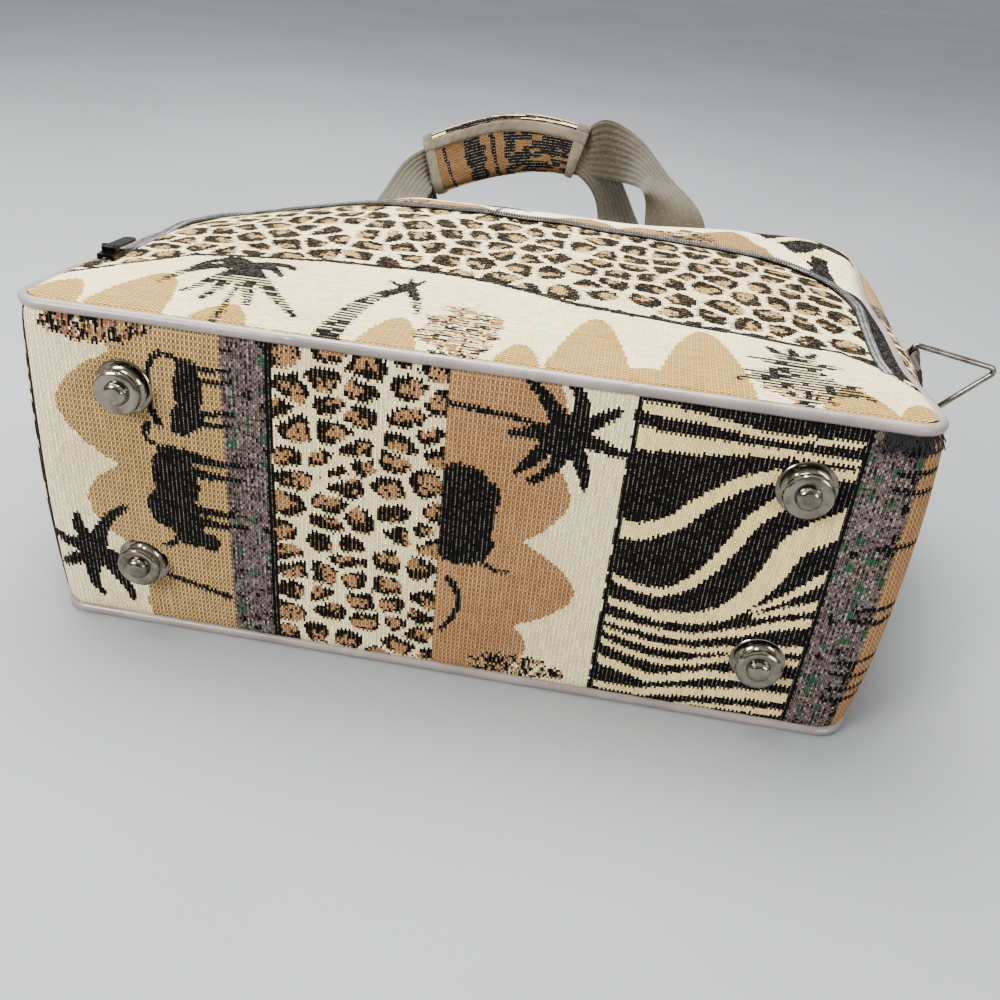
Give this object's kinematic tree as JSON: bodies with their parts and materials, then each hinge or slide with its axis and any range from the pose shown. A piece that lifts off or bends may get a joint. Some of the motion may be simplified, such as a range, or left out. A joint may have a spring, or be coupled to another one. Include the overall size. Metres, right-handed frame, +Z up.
{
  "type": "carpet bag",
  "caption": "Soft tapestry carpet bag lying on its back, with piped edges, metal base feet, arched zip pocket, wrapped webbing handles and shoulder-strap rings.",
  "frame": {"origin": "middle of the back panel's outer face, on the surface that the bag lies on", "axes": "+X along the bag's width, +Y from the base with the feet to the top with the handles, +Z up, out of the front pocket"},
  "size_m": [0.4748, 0.327, 0.1879],
  "materials": {
    "tapestry": "woven jacquard tapestry",
    "lining": "plain lining cloth",
    "vinyl": "soft glossy vinyl",
    "webbing": "ribbed cotton webbing",
    "zip": "black nylon zip",
    "nickel": "polished nickel plate",
    "board": "fibre board"
  },
  "bodies": {
    "bag": {"back_panel": "tapestry", "gusset_left": "tapestry", "gusset_right": "tapestry", "piping_back": "vinyl", "piping_front": "vinyl", "base_board": "board", "feet": "nickel", "foot_washers": "nickel", "pocket_wall": "lining", "pocket_panel": "tapestry", "front_border": "tapestry", "pocket_zip_tape": "zip", "pocket_zip_coil": "zip", "top_strip_front": "tapestry", "top_strip_back": "tapestry", "main_zip_tape": "zip", "main_zip_coil": "zip", "strap_front": "webbing", "strap_back": "webbing", "handle_wrap": "tapestry", "wrap_binding": "webbing", "ring_tab_left": "webbing", "ring_tab_right": "webbing"},
    "ring_left": {"ring_left": "nickel"},
    "ring_right": {"ring_right": "nickel"},
    "main_zip_slider": {"main_zip_slider": "zip"},
    "main_zip_pull": {"main_zip_pull": "zip"},
    "pocket_zip_slider": {"pocket_zip_slider": "zip"},
    "pocket_zip_pull": {"pocket_zip_pull": "zip"}
  },
  "joints": [
    {"name": "ring_right_swing", "type": "hinge", "parent": "bag", "child": "ring_right", "pos_m": [0.21204, 0.0425, 0.102], "axis": [-0.3218, 0, 0.9468], "range_deg": [-60, 80]},
    {"name": "ring_left_swing", "type": "hinge", "parent": "bag", "child": "ring_left", "pos_m": [-0.21204, 0.0425, 0.102], "axis": [-0.3218, 0, -0.9468], "range_deg": [-132, 8]},
    {"name": "main_zip_slide", "type": "slide", "parent": "bag", "child": "main_zip_slider", "axis": [1, 0, 0], "range_m": [0, 0.262]},
    {"name": "main_zip_pull_swing", "type": "hinge", "parent": "main_zip_slider", "child": "main_zip_pull", "pos_m": [-0.1337, 0.12763, 0.0669], "axis": [0, 0, 1], "range_deg": [0, 170]},
    {"name": "pocket_zip_slide", "type": "slide", "parent": "bag", "child": "pocket_zip_slider", "axis": [0, 1, 0], "range_m": [0, 0.042]},
    {"name": "pocket_zip_pull_swing", "type": "hinge", "parent": "pocket_zip_slider", "child": "pocket_zip_pull", "pos_m": [-0.166, -0.0655, 0.15569], "axis": [1, 0, 0], "range_deg": [0, 165]}
  ]
}
